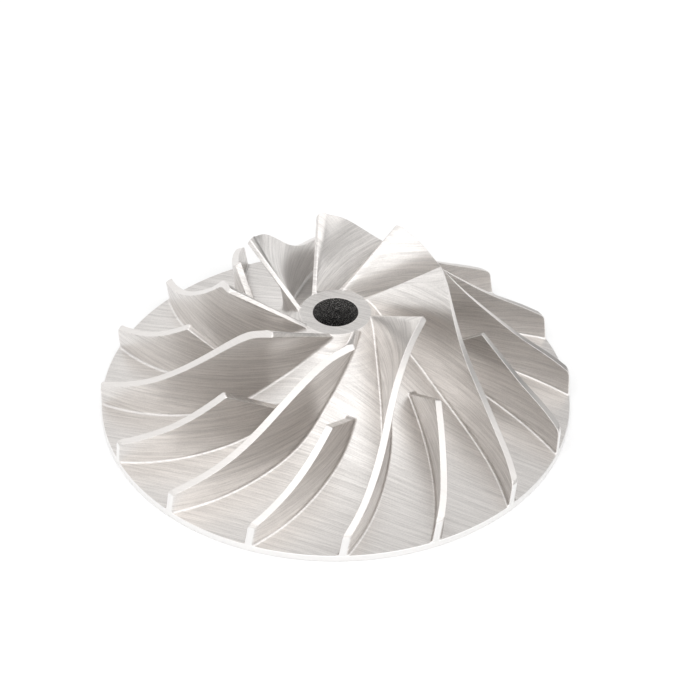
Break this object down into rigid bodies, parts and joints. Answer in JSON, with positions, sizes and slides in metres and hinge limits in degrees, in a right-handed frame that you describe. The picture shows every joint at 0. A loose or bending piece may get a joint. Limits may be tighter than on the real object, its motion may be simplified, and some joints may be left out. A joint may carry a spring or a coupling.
{
  "type": "open centrifugal pump impeller",
  "caption": "Open centrifugal pump impeller milled from one aluminium billet: hub with flat back disc, full blades and shorter splitter blades between them.",
  "frame": {"origin": "middle of the flat back face, on the bore's axis", "axes": "+Z along the bore towards the suction side; the first full blade meets the rim near -Y"},
  "size_m": [0.2, 0.2, 0.0678],
  "materials": {
    "turned_aluminium": "fine milled and turned, satin",
    "milled_aluminium": "five-axis milled, fine tool lines, satin"
  },
  "bodies": {
    "root": {"hub_disc": "turned_aluminium", "full_blade_1": "milled_aluminium", "full_blade_2": "milled_aluminium", "full_blade_3": "milled_aluminium", "full_blade_4": "milled_aluminium", "full_blade_5": "milled_aluminium", "full_blade_6": "milled_aluminium", "full_blade_7": "milled_aluminium", "full_blade_8": "milled_aluminium", "splitter_blade_1": "milled_aluminium", "splitter_blade_2": "milled_aluminium", "splitter_blade_3": "milled_aluminium", "splitter_blade_4": "milled_aluminium", "splitter_blade_5": "milled_aluminium", "splitter_blade_6": "milled_aluminium", "splitter_blade_7": "milled_aluminium", "splitter_blade_8": "milled_aluminium"}
  },
  "joints": []
}
